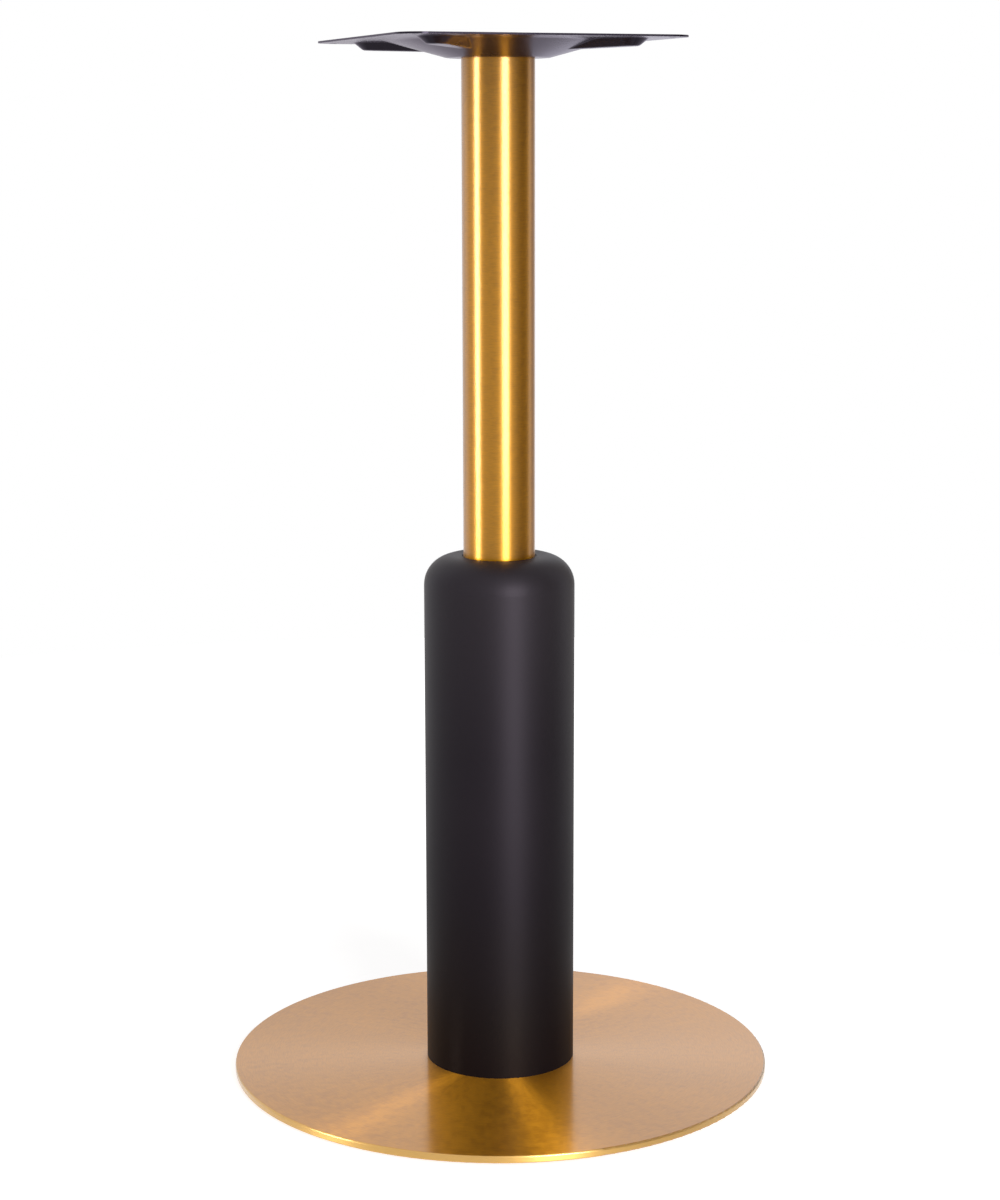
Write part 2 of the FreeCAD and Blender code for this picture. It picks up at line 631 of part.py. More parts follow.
def make_pressing(label, level, inner):
    """Solid under the sheet, or over it: four arms and a dish, hanging from the rim's face.

    The inner form lies a sheet higher and is narrower, so that the sheet between the two keeps its
    thickness on the slopes. Each arm lies along the X or Y axis, and the body is turned by 45 degrees
    to point the arms at the plate's corners.
    """
    body = new_body(label, level, 45.0)
    run = "((Sizes.arm_mouth_width - Sizes.arm_floor_width) / 2)"
    inset = "%d * Sizes.plate_sheet * tan(atan(Sizes.arm_end_depth / %s) / 2)" % (inner, run)
    deep = "(Sizes.arm_root_depth + Sizes.arm_trim)"
    mouth = draw_arm(
        body, "arm_mouth", "(Sizes.arm_reach - %s)" % inset,
        "(Sizes.arm_mouth_width - 2 * %s)" % inset,
    )
    drawn = pad(body, mouth, deep)
    drawn.Reversed = True
    doc.recompute()
    draft_sides(body, "atan(%s / Sizes.arm_end_depth)" % run)
    pocket_through(body, draw_outline(body, "arm_floor", "XZ_Plane", [
        ("Sizes.arm_root_radius", "-Sizes.arm_root_depth"),
        ("Sizes.arm_reach", "-Sizes.arm_end_depth"),
        ("Sizes.arm_reach", "-" + deep),
        ("Sizes.arm_root_radius", "-" + deep),
    ]))
    hollow_bend = "Sizes.press_bend + %d * Sizes.plate_sheet" % inner
    hump_bend = "Sizes.press_bend + %d * Sizes.plate_sheet" % (1 - inner)
    dress(body, "Fillet", "arm_bend", floor_edges(body), hump_bend)
    repeat_round(body, "4")
    dish_run = "(Sizes.dish_rim_radius - Sizes.dish_boss_radius)"
    dish_inset = "%d * Sizes.plate_sheet * tan(atan(Sizes.dish_depth / %s) / 2)" % (inner, dish_run)
    boss_bend = "Sizes.dish_boss_bend + %d * Sizes.plate_sheet" % (1 - inner)
    rim_bend = "Sizes.dish_rim_bend + %d * Sizes.plate_sheet" % inner
    beyond = "((Sizes.dish_rim_radius + Sizes.plate_side / 2) / 2)"
    revolve(body, "dish", [
        ("0", "-Sizes.dish_depth"),
        ("Sizes.dish_boss_radius - %s" % dish_inset, "-Sizes.dish_depth", boss_bend),
        ("Sizes.dish_rim_radius - %s" % dish_inset, "0", rim_bend),
        (beyond, "0"),
        (beyond, "Sizes.plate_sheet / 2"),
        ("0", "Sizes.plate_sheet / 2"),
    ])
    corner = "Sizes.plate_side / sqrt(2)"
    square = draw_outline(body, "plate_square", "XY_Plane", [
        (corner, "0"), ("0", corner), ("-" + corner, "0"), ("0", "-" + corner),
    ])
    pad(body, square, "Sizes.plate_sheet")
    dress(body, "Fillet", "mouth_bend", mouth_edges(body), hollow_bend)
    return body


def mouth_edges(body):
    """The long edges and the round ends of the arms' mouths in the flat rim."""
    rim = worth("Sizes.dish_rim_radius")
    reach = worth("Sizes.arm_reach")
    found = []
    for k, edge in enumerate(body.Tip.Shape.Edges, start=1):
        box = edge.BoundBox
        away = math.hypot(edge.CenterOfMass.x, edge.CenterOfMass.y)
        if abs(box.ZMin) < 1e-4 and abs(box.ZMax) < 1e-4 and rim < away < reach:
            if edge.Length < reach:
                found.append("Edge%d" % k)
    return found


def floor_edges(body):
    """The long edges and the round end of an arm's floor, without its root."""
    root = worth("Sizes.arm_root_radius")
    level = -worth("Sizes.arm_end_depth") / 2
    found = []
    for k, edge in enumerate(body.Tip.Shape.Edges, start=1):
        box = edge.BoundBox
        if box.ZMax < level and box.XLength > 1e-3 and box.XMax > root and box.ZLength < edge.Length / 2:
            found.append("Edge%d" % k)
    return found


def make_top_plate():
    """Square plate pressed from one sheet: a dish down to the tube and an arm to each corner."""
    outside = make_pressing("pressing_outside", RIM_UNDERSIDE, 0)
    dress(outside, "Fillet", "plate_corners", upright_edges(outside), "Sizes.plate_corner")
    screw_place = "(Sizes.plate_side / 2 - Sizes.top_screw_margin) * sqrt(2)"
    screw_hole = draw_circle(outside, "top_screw", "Sizes.top_screw_hole / 2", screw_place)
    repeat_round(outside, "4", pocket_through(outside, screw_hole))
    pocket_through(outside, draw_circle(outside, "rod_hole", ROD_HOLE_R))
    inside = make_pressing("pressing_inside", "Sizes.overall_height", 1)
    plate = doc.addObject("Part::Cut", "top_plate")
    plate.Label = "top_plate"
    plate.Base = outside
    plate.Tool = inside
    doc.recompute()
    return plate


def upright_edges(body):
    """The upright edges at the corners of the plate."""
    corner = worth("Sizes.plate_side / sqrt(2)")
    found = []
    for k, edge in enumerate(body.Tip.Shape.Edges, start=1):
        middle = edge.CenterOfMass
        upright = edge.BoundBox.ZLength > edge.Length / 2
        if upright and abs(abs(middle.x) + abs(middle.y) - corner) < 1e-3:
            found.append("Edge%d" % k)
    return found


def make_ring(label, level, bore, radius, thickness):
    body = new_body(label, level)
    revolve(body, "section", [
        (bore, "0"), (radius, "0"), (radius, thickness), (bore, thickness),
    ])
    return body


def make_top_washer():
    """Wide washer on the dish's floor."""
    return make_ring(
        "top_washer", DISH_FLOOR, ROD_HOLE_R, "Sizes.washer_diameter / 2", "Sizes.washer_thickness",
    )


def make_spring_washer():
    """Split washer under the nut."""
    body = make_ring(
        "spring_washer", "%s + Sizes.washer_thickness" % DISH_FLOOR, ROD_HOLE_R,
        "Sizes.spring_diameter / 2", "Sizes.spring_thickness",
    )
    slit = draw_outline(body, "slit", "XY_Plane", [
        ("0", "-Sizes.spring_slit / 2"),
        ("Sizes.spring_diameter", "-Sizes.spring_slit / 2"),
        ("Sizes.spring_diameter", "Sizes.spring_slit / 2"),
        ("0", "Sizes.spring_slit / 2"),
    ])
    pocket_through(body, slit)
    return body


def make_top_nut():
    """Nut that pulls the plate down on the tube."""
    level = "%s + Sizes.washer_thickness + Sizes.spring_thickness" % DISH_FLOOR
    return make_nut("top_nut", level, "Sizes.nut_height")


pieces = [make_base_cover(), make_base_weight()]
for pad_number in range(1, round(worth("Sizes.pad_count")) + 1):
    pieces.append(make_floor_pad(pad_number))
pieces += [
    make_pad_screws(),
    make_anchor_nut(),
    make_sleeve(),
    make_sleeve_ring(),
    make_sleeve_screws(),
    make_guide_ring(),
    make_column_tube(),
    make_tie_rod(),
    make_top_spigot(),
    make_top_plate(),
    make_top_washer(),
    make_spring_washer(),
    make_top_nut(),
]
doc.recompute()

# Nothing is written unless every object and every piece is sound
for thing in doc.Objects:
    if "Invalid" in thing.State or "Error" in thing.State:
        raise RuntimeError("%s is %s" % (thing.Name, thing.State))
for piece in pieces:
    if piece.Shape.isNull() or not piece.Shape.isValid() or not piece.Shape.Solids:
        raise RuntimeError("%s has no sound shape" % piece.Label)
for piece in pieces:
    piece.Shape.exportStep("parts/%s.step" % piece.Label)
    print("%-16s %d solid(s), %.1f cm3" % (
        piece.Label, len(piece.Shape.Solids), piece.Shape.Volume / 1000,
    ))
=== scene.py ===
import math

import bmesh
import bpy
from mathutils import Matrix, Vector


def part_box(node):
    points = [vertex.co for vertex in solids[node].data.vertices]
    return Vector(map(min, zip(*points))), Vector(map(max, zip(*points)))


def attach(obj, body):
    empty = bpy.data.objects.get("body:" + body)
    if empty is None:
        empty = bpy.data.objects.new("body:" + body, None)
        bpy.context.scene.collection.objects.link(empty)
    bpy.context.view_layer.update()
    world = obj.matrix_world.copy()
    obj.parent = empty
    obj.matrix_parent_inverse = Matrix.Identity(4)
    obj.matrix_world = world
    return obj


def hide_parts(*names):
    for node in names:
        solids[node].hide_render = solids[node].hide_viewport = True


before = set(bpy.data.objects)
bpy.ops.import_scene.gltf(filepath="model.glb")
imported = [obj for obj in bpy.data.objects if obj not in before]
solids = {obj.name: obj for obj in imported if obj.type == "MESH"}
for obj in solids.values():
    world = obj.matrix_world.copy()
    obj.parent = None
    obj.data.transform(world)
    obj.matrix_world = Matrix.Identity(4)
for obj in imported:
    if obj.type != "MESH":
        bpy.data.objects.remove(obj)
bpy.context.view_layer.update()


# Foot weight
# A 6 mm disc cut from hot-rolled steel plate, which keeps the tall base upright. Only its underside
# shows, inside the skin's hem: blue-grey mill scale with lighter rubbed patches and a faint grain.

def feed(tree, node, inputs):
    """Gives each named input of a node its value, or links it to another node's output."""
    for key, value in inputs.items():
        if isinstance(value, bpy.types.NodeSocket):
            tree.links.new(value, node.inputs[key])
        else:
            node.inputs[key].default_value = value


def put(tree, kind, inputs=None, **settings):
    """Adds a node to a tree, with its settings and its inputs."""
    node = tree.nodes.new(kind)
    for name, value in settings.items():
        setattr(node, name, value)
    feed(tree, node, inputs or {})
    return node


def new_finish(name):
    """A new material, with its tree, its shader and the place in the row's own metres."""
    finish = bpy.data.materials.new(name)
    finish.use_nodes = True
    tree = finish.node_tree
    place = put(tree, "ShaderNodeTexCoord").outputs["Object"]
    return finish, tree, tree.nodes["Principled BSDF"], place


def noise(tree, place, scale, detail, roughness=0.5):
    """A cloudy factor over a place, with as many clouds to a metre as the scale says."""
    inputs = {"Vector": place, "Scale": scale, "Detail": detail, "Roughness": roughness}
    return put(tree, "ShaderNodeTexNoise", inputs).outputs["Fac"]


def tones(tree, factor, stops):
    """A colour ramp over a factor: stops of position and colour."""
    ramp = put(tree, "ShaderNodeValToRGB", {"Fac": factor})
    while len(ramp.color_ramp.elements) < len(stops):
        ramp.color_ramp.elements.new(0.5)
    for element, (position, colour) in zip(ramp.color_ramp.elements, stops):
        element.position = position
        element.color = (*colour, 1.0)
    return ramp.outputs["Color"]


def spread(tree, factor, low, high, start=0.0, end=1.0):
    """A value that goes from low to high while the factor goes from start to end."""
    inputs = {"Value": factor, "From Min": start, "From Max": end, "To Min": low, "To Max": high}
    return put(tree, "ShaderNodeMapRange", inputs).outputs["Result"]


def relief(tree, pattern, strength, depth):
    """The way a surface faces, with a pattern on it of some depth in metres."""
    inputs = {"Height": pattern, "Strength": strength, "Distance": depth}
    return put(tree, "ShaderNodeBump", inputs).outputs["Normal"]


mill_scale, tree, shader, place = new_finish("mill_scale")
patches = noise(tree, place, 14.0, 6.0, 0.65)
grain = noise(tree, place, 900.0, 2.0)
feed(tree, shader, {
    "Metallic": 1.0,
    "Specular IOR Level": 0.4,
    "Base Color": tones(tree, patches, [
        (0.30, (0.105, 0.112, 0.125)), (0.52, (0.165, 0.168, 0.175)), (0.72, (0.31, 0.30, 0.29)),
    ]),
    "Roughness": spread(tree, patches, 0.62, 0.38),
    "Normal": relief(tree, grain, 0.25, 0.0001),
})
solids["base_weight"].material_slots[0].material = mill_scale


# Foot skin
# Brass-finished sheet, 1 mm thick, spun over the weight and folded in under it. Its face is brushed
# round and round on a turntable, so that highlights fan out from the column, then lacquered.

def number_from(tree, operation, first, second):
    """A number worked out from two others."""
    return put(tree, "ShaderNodeMath", {0: first, 1: second}, operation=operation).outputs[0]


def vector_from(tree, operation, inputs):
    """A vector worked out from others, or the number that a length or a product gives."""
    node = put(tree, "ShaderNodeVectorMath", inputs, operation=operation)
    return node.outputs["Value" if operation in ("LENGTH", "DOT_PRODUCT") else "Vector"]


def height_of(tree, vector):
    """The Z of a place or of a direction."""
    return put(tree, "ShaderNodeSeparateXYZ", {"Vector": vector}).outputs["Z"]


def mixed(tree, first, second, share, way="MIX"):
    """A colour between the first and the second, or the first times the second."""
    inputs = {6: first, 7: second, "Factor": share}
    return put(tree, "ShaderNodeMix", inputs, data_type="RGBA", blend_type=way).outputs[2]


def round_the_column(tree):
    """The direction that goes round the column's axis, as the brushing does."""
    return put(tree, "ShaderNodeTangent", direction_type="RADIAL", axis="Z").outputs["Tangent"]


def brushed_brass(name, tone, changes_round, roughness, lacquer_haze, lacquer_ior, rim_highlight_from=9.0):
    """Brass brushed round the column's axis and lacquered.

    The scratches are long thin arcs: noise that is fine across them and slow along them. The tone is
    the metal's own colour, and the changes round say how often a scratch fades and comes back on its
    way. From a radius outwards, given in metres as the last argument, a paler tone is painted on as a
    highlight along the rim, and the brushing is weaker. If it isn't given, that radius lies beyond the piece.
    """
    hairline_pitch = 0.0009
    band_pitch = 0.011
    rim_highlight_width = 0.0012
    # Painted highlight: the pale tone laid along the rim
    rim_highlight_tone = (0.66, 0.39, 0.10, 1.0)
    light = tuple(part * 1.06 for part in tone)
    deep = (tone[0] * 0.88, tone[1] * 0.85, tone[2] * 0.80)

    finish, tree, shader, place = new_finish(name)
    flat = vector_from(tree, "MULTIPLY", {0: place, 1: (1.0, 1.0, 0.0)})
    heading = vector_from(tree, "NORMALIZE", {0: flat})
    slow = vector_from(tree, "SCALE", {0: heading, "Scale": changes_round})
    radius = vector_from(tree, "LENGTH", {0: flat})
    across = number_from(tree, "ADD", radius, height_of(tree, place))

    def arcs(pitch, detail):
        """Noise with lines a pitch apart, across the brushing."""
        steps = number_from(tree, "MULTIPLY", across, 1.0 / pitch)
        lift = put(tree, "ShaderNodeCombineXYZ", {"Z": steps}).outputs[0]
        return noise(tree, vector_from(tree, "ADD", {0: slow, 1: lift}), 1.0, detail)

    hairlines = arcs(hairline_pitch, 3.0)
    bands = arcs(band_pitch, 2.0)
    clouds = noise(tree, place, 6.0, 1.5)
    stain = number_from(tree, "MULTIPLY", number_from(tree, "ADD", bands, clouds), 0.5)
    body_tone = tones(tree, stain, [(0.36, deep), (0.50, tone), (0.64, light)])
    scratch_tone = tones(tree, hairlines, [(0.30, (0.86, 0.85, 0.84)), (0.60, (1.0, 1.0, 1.0))])
    brushed_tone = mixed(tree, body_tone, scratch_tone, 1.0, "MULTIPLY")
    # Painted highlight: the rim's share of the pale tone
    painted_rim_highlight = spread(tree, radius, 0.0, 1.0, rim_highlight_from, rim_highlight_from + rim_highlight_width)
    feed(tree, shader, {
        "Metallic": 1.0,
        "Base Color": mixed(tree, brushed_tone, rim_highlight_tone, painted_rim_highlight),
        "Roughness": spread(tree, stain, roughness - 0.06, roughness + 0.06),
        "Normal": relief(tree, hairlines, 0.10, 0.00005),
        "Anisotropic": spread(tree, painted_rim_highlight, 1.0, 0.88),
        "Anisotropic Rotation": 0.25,
        "Tangent": round_the_column(tree),
        "Coat Weight": 1.0,
        "Coat Roughness": lacquer_haze,
        "Coat IOR": lacquer_ior,
    })
    return finish


disc_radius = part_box("base_cover")[1].x
disc_brass = brushed_brass(
    "disc_brass", tone=(0.60, 0.260, 0.015), changes_round=26.0, roughness=0.375,
    lacquer_haze=0.16, lacquer_ior=1.5, rim_highlight_from=disc_radius - 0.0018,
)
solids["base_cover"].material_slots[0].material = disc_brass


# Floor pads and their screws
# Six moulded pads keep the hem off the floor. Each has a rounded foot with two shallow grooves and a
# deep hole, in which a countersunk cross-head screw pulls it against the weight.

def turned(name, outline, steps, rounding=0.0):
    """A piece turned about the Z axis from a closed outline of (radius, height) in metres.

    Its corners may get a small bevel, as wide as the rounding.
    """
    same_place = 1e-6
    no_area = 1e-12
    corner = 0.6
    piece = bpy.data.objects.new(name, bpy.data.meshes.new(name))
    bpy.context.scene.collection.objects.link(piece)
    shape = bmesh.new()
    points = [shape.verts.new((radius, 0.0, height)) for radius, height in outline]
    loop = [shape.edges.new((a, b)) for a, b in zip(points, points[1:] + points[:1])]
    bmesh.ops.spin(
        shape, geom=points + loop, cent=(0, 0, 0), axis=(0, 0, 1), angle=2 * math.pi, steps=steps,
    )
    bmesh.ops.remove_doubles(shape, verts=shape.verts, dist=same_place)
    flat = [face for face in shape.faces if face.calc_area() < no_area]
    bmesh.ops.delete(shape, geom=flat, context="FACES_ONLY")
    bmesh.ops.recalc_face_normals(shape, faces=shape.faces)
    if rounding:
        paired = [edge for edge in shape.edges if len(edge.link_faces) == 2]
        sharp = [edge for edge in paired if edge.calc_face_angle() > corner]
        bmesh.ops.bevel(
            shape, geom=sharp, offset=rounding, segments=1, profile=0.5, affect="EDGES", clamp_overlap=True,
        )
    shape.to_mesh(piece.data)
    shape.free()
    piece.data.polygons.foreach_set("use_smooth", [True] * len(piece.data.polygons))
    piece.data.set_sharp_from_angle(angle=math.radians(38))
    return piece


def start_shape_tree(name, sizes):
    """A geometry tree that takes and gives a mesh, with named inputs for its sizes and its finish."""
    tree = bpy.data.node_groups.new(name, "GeometryNodeTree")
    tree.interface.new_socket("Geometry", in_out="INPUT", socket_type="NodeSocketGeometry")
    for label, kind, value in sizes:
        tree.interface.new_socket(label, in_out="INPUT", socket_type=kind).default_value = value
    tree.interface.new_socket("Finish", in_out="INPUT", socket_type="NodeSocketMaterial")
    tree.interface.new_socket("Geometry", in_out="OUTPUT", socket_type="NodeSocketGeometry")
    return tree, put(tree, "NodeGroupInput").outputs


def end_shape_tree(tree, given, geometry):
    """Ends a geometry tree: what it made becomes real meshes in the finish that is given."""
    real = put(tree, "GeometryNodeRealizeInstances", {"Geometry": geometry}).outputs[0]
    inputs = {"Geometry": real, "Material": given["Finish"]}
    put(tree, "NodeGroupOutput", {"Geometry": put(tree, "GeometryNodeSetMaterial", inputs).outputs[0]})


def keep_result(piece, modifier):
    """Makes a modifier's result the piece's plain mesh, and removes the modifier."""
    bpy.context.view_layer.update()
    seen = piece.evaluated_get(bpy.context.evaluated_depsgraph_get())
    mesh = bpy.data.meshes.new_from_object(seen)
    piece.modifiers.remove(modifier)
    piece.data = mesh
    mesh.name = piece.name


def run_shape_tree(piece, tree, values, finish):
    """Runs a geometry tree on a piece, with values for its named inputs."""
    run = piece.modifiers.new("shape", "NODES")
    run.node_group = tree
    inputs = [socket for socket in tree.interface.items_tree if socket.in_out == "INPUT"]
    identifiers = {socket.name: socket.identifier for socket in inputs}
    for label, value in values.items():
        run[identifiers[label]] = value
    run[identifiers["Finish"]] = finish
    keep_result(piece, run)


ring_of_copies, given = start_shape_tree("ring_of_copies", (
    ("Count", "NodeSocketInt", 6),
    ("Circle radius", "NodeSocketFloat", 0.255),
))
circle = put(ring_of_copies, "GeometryNodeMeshCircle", {
    "Vertices": given["Count"], "Radius": given["Circle radius"],
}).outputs["Mesh"]
index = put(ring_of_copies, "GeometryNodeInputIndex").outputs[0]
share_of_turn = number_from(ring_of_copies, "DIVIDE", index, given["Count"])
turn = number_from(ring_of_copies, "MULTIPLY", share_of_turn, 2 * math.pi)
facing_out = put(ring_of_copies, "ShaderNodeCombineXYZ", {"Z": turn}).outputs[0]
copies = put(ring_of_copies, "GeometryNodeInstanceOnPoints", {
    "Points": circle, "Instance": given["Geometry"], "Rotation": facing_out,
}).outputs[0]
end_shape_tree(ring_of_copies, given, copies)

pad_plastic, tree, shader, place = new_finish("pad_plastic")
mould = noise(tree, place, 1600.0, 2.0)
scuffs = noise(tree, place, 120.0, 5.0, 0.7)
feed(tree, shader, {
    "Specular IOR Level": 0.35,
    "Base Color": tones(tree, scuffs, [
        (0.35, (0.012, 0.012, 0.013)), (0.60, (0.022, 0.022, 0.023)), (0.75, (0.055, 0.054, 0.052)),
    ]),
    "Roughness": spread(tree, scuffs, 0.78, 0.55),
    "Normal": relief(tree, mould, 0.3, 0.00008),
})

pad_low, pad_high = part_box("floor_pad_1")
pad_circle = (pad_low.x + pad_high.x) / 2
pad_radius = (pad_high.x - pad_low.x) / 2
pad_hole = 0.0043
pad_bore = 0.0023
groove_depth = 0.0005
grooves = [
    (start + across, up) for start in (0.0090, 0.0132) for across, up in (
        (0.0, 0.0), (0.0004, groove_depth), (0.0016, groove_depth), (0.0020, 0.0),
    )
]
pads = turned("foot_pads", [
    (pad_hole, 0.0), *grooves, (pad_radius - 0.0008, 0.0), (pad_radius, 0.0008),
    (pad_radius, 0.0020), (pad_radius - 0.0020, pad_high.z), (pad_bore, pad_high.z),
    (pad_bore, 0.0026), (pad_hole, 0.0006),
], steps=48, rounding=0.0001)
run_shape_tree(pads, ring_of_copies, {"Count": 6, "Circle radius": pad_circle}, pad_plastic)
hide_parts(*["floor_pad_%d" % number for number in range(1, 7)])
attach(pads, "root")

zinc, tree, shader, place = new_finish("bright_zinc")
spangle = noise(tree, place, 260.0, 4.0)
feed(tree, shader, {
    "Metallic": 1.0,
    "Base Color": tones(tree, spangle, [
        (0.35, (0.47, 0.49, 0.52)), (0.55, (0.60, 0.615, 0.64)), (0.70, (0.66, 0.65, 0.62)),
    ]),
    "Roughness": spread(tree, spangle, 0.20, 0.42),
    "Normal": relief(tree, spangle, 0.15, 0.0001),
})


def sink_recess(piece, outline, head_face, depth):
    """Sinks a tapering driver's recess up into a screw's head, from corners of (angle, reach)."""
    taper = 0.86
    start = head_face - 0.001
    cutter = bmesh.new()
    mouth = []
    bottom = []
    for angle, reach in outline:
        x = reach * math.cos(angle)
        y = reach * math.sin(angle)
        mouth.append(cutter.verts.new((x, y, start)))
        bottom.append(cutter.verts.new((taper * x, taper * y, head_face + depth)))
    cutter.faces.new(mouth)
    cutter.faces.new(bottom)
    for k in range(len(outline)):
        cutter.faces.new((mouth[k - 1], mouth[k], bottom[k], bottom[k - 1]))
    bmesh.ops.recalc_face_normals(cutter, faces=cutter.faces)
    tool = bpy.data.objects.new("recess_tool", bpy.data.meshes.new("recess_tool"))
    cutter.to_mesh(tool.data)
    cutter.free()
    bpy.context.scene.collection.objects.link(tool)
    cut = piece.modifiers.new("recess", "BOOLEAN")
    cut.object = tool
    cut.operation = "DIFFERENCE"
    cut.solver = "EXACT"
    keep_result(piece, cut)
    bpy.data.objects.remove(tool)


screw_low, screw_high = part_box("pad_screws")
head = screw_high.x - pad_circle
shank = head / 2
pad_screws = turned("pad_screws_turned", [
    (0.0, screw_low.z), (head - 0.0002, screw_low.z), (head, screw_low.z + 0.0001),
    (shank, screw_low.z + 0.0021), (shank, screw_high.z), (0.0, screw_high.z),
], steps=32)
cross_reach = 0.0021
half_arm = math.pi / 4 - 0.32
cross = [
    (quarter * math.pi / 2 + side, reach) for quarter in range(4) for side, reach in (
        (-math.pi / 4, 0.28 * cross_reach), (-half_arm, cross_reach), (half_arm, cross_reach),
    )
]
sink_recess(pad_screws, cross, screw_low.z, depth=0.0013)
run_shape_tree(pad_screws, ring_of_copies, {"Count": 6, "Circle radius": pad_circle}, zinc)
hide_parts("pad_screws")
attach(pad_screws, "root")


# Anchor nut, sleeve ring and sleeve screws
# A long nut is welded on the weight for the tie rod. The ring welded in the sleeve's foot takes four
# socket screws, which come up through the weight and the skin and hold the sleeve down.

turned_steel, tree, shader, place = new_finish("turned_steel")
tool_marks = put(tree, "ShaderNodeTexWave", {
    "Vector": place, "Scale": 420.0, "Distortion": 1.5, "Detail": 2.0,
}, wave_type="RINGS", rings_direction="Z").outputs["Fac"]
oil_stain = noise(tree, place, 60.0, 4.0)
feed(tree, shader, {
    "Metallic": 1.0,
    "Base Color": tones(tree, oil_stain, [
        (0.35, (0.30, 0.30, 0.31)), (0.60, (0.43, 0.43, 0.44)), (0.75, (0.36, 0.32, 0.27)),
    ]),
    "Roughness": spread(tree, oil_stain, 0.30, 0.50),
    "Normal": relief(tree, tool_marks, 0.15, 0.00005),
})
for node in ("anchor_nut", "sleeve_ring", "top_spigot"):
    solids[node].material_slots[0].material = turned_steel

screw_low, screw_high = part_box("sleeve_screws")
head = 0.0060
shank = head / 2
screw_circle = screw_high.x - head
sleeve_screws = turned("sleeve_screws_turned", [
    (0.0, screw_low.z), (head - 0.0004, screw_low.z), (head, screw_low.z + 0.0002),
    (shank, screw_low.z + 0.0030), (shank, screw_high.z - 0.0005), (shank - 0.0004, screw_high.z),
    (0.0, screw_high.z),
], steps=36)
hexagon = [(side * math.pi / 3, 0.0023) for side in range(6)]
sink_recess(sleeve_screws, hexagon, screw_low.z, depth=0.0020)
run_shape_tree(sleeve_screws, ring_of_copies, {"Count": 4, "Circle radius": screw_circle}, zinc)
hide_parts("sleeve_screws")
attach(sleeve_screws, "root")


# Sleeve
# A spun steel shell, 2 mm thick, open at its foot and closed by a rounded shoulder with a hole for the
# tube. Its black powder coat is satin, with a faint grain round the column and a violet sheen. Towards
# the foot the sheen is painted duller and warmer, as painted shade and a painted warm reflection, and
# the upper part's colour is painted paler, as painted light.

black_coat, tree, shader, place = new_finish("black_coat")
# Painted shade and painted warm reflection: below this height the sheen is painted weaker and warmer
full_sheen_at = 0.30
# Painted light: from this height upwards the coat's colour is painted paler
painted_light_from = 0.36
painted_light_full_at = 0.54
painted_light_tone = (0.011, 0.0092, 0.011, 1.0)
drift = noise(tree, place, 7.0, 3.0)
texture = number_from(tree, "ADD", noise(tree, place, 1500.0, 2.0), noise(tree, place, 260.0, 3.0))
level = height_of(tree, place)
rise = spread(tree, level, 0.0, 1.0, 0.0, full_sheen_at)
painted_upper_light = spread(tree, level, 0.0, 1.0, painted_light_from, painted_light_full_at)
coat_tone = tones(tree, drift, [
    (0.35, (0.0026, 0.0018, 0.0028)), (0.55, (0.0032, 0.0022, 0.0034)), (0.70, (0.0038, 0.0027, 0.0040)),
])
feed(tree, shader, {
    # The base colour is painted paler on the upper part, as painted light
    "Base Color": mixed(tree, coat_tone, painted_light_tone, painted_upper_light),
    "Roughness": spread(tree, drift, 0.47, 0.56),
    # Painted shade and painted warm reflection: the sheen is weaker and warmer towards the foot
    "Specular IOR Level": spread(tree, rise, 0.125, 0.27),
    "Specular Tint": tones(tree, rise, [
        (0.05, (1.0, 0.80, 0.66)), (0.22, (1.0, 0.88, 0.80)),
        (0.38, (1.0, 0.89, 0.95)), (0.70, (0.97, 0.84, 1.0)),
    ]),
    "Normal": relief(tree, texture, 0.16, 0.00010),
    "Anisotropic": 0.35,
    "Anisotropic Rotation": 0.25,
    "Tangent": round_the_column(tree),
})
solids["sleeve"].material_slots[0].material = black_coat


# Guide ring
# A moulded nylon ring pressed up into the sleeve's top hole. It keeps the tube off the metal, and its
# top lies just below the hole's rounded lip, as the dark line round the tube's foot.

nylon, tree, shader, place = new_finish("black_nylon")
mould = noise(tree, place, 1400.0, 2.0)
feed(tree, shader, {
    "Specular IOR Level": 0.4,
    "Base Color": tones(tree, mould, [(0.35, (0.008, 0.008, 0.009)), (0.65, (0.016, 0.015, 0.016))]),
    "Roughness": spread(tree, mould, 0.55, 0.70),
})
solids["guide_ring"].material_slots[0].material = nylon


# Column tube
# A 76 mm tube with a 1.5 mm wall, finished as the foot skin is, but in a duller lacquer. It was brushed
# while it turned, so the fine lines run round it and every upright highlight keeps its edges.

tube_brass = brushed_brass(
    "tube_brass", tone=(0.66, 0.295, 0.003), changes_round=5.0, roughness=0.53,
    lacquer_haze=0.22, lacquer_ior=1.37,
)
solids["column_tube"].material_slots[0].material = tube_brass


# Tie rod
# A zinc-plated rod with a rolled thread from end to end. It screws into the anchor nut, runs up the
# tube and ends 1.5 mm above the top nut.

rolled_thread, given = start_shape_tree("rolled_thread", (
    ("Crest radius", "NodeSocketFloat", 0.006),
    ("Root radius", "NodeSocketFloat", 0.00505),
    ("Pitch", "NodeSocketFloat", 0.00175),
    ("Foot", "NodeSocketFloat", 0.013),
    ("Length", "NodeSocketFloat", 1.086),
))
all_turns = number_from(rolled_thread, "DIVIDE", given["Length"], given["Pitch"])
turns = number_from(rolled_thread, "SUBTRACT", all_turns, 2.0)
helix = put(rolled_thread, "GeometryNodeCurveSpiral", {
    "Resolution": 20, "Rotations": turns,
    "Start Radius": given["Root radius"], "End Radius": given["Root radius"],
    "Height": number_from(rolled_thread, "MULTIPLY", turns, given["Pitch"]),
}).outputs[0]
diamond = put(rolled_thread, "GeometryNodeCurvePrimitiveCircle", {
    "Resolution": 4, "Radius": 1.0,
}, mode="RADIUS").outputs[0]
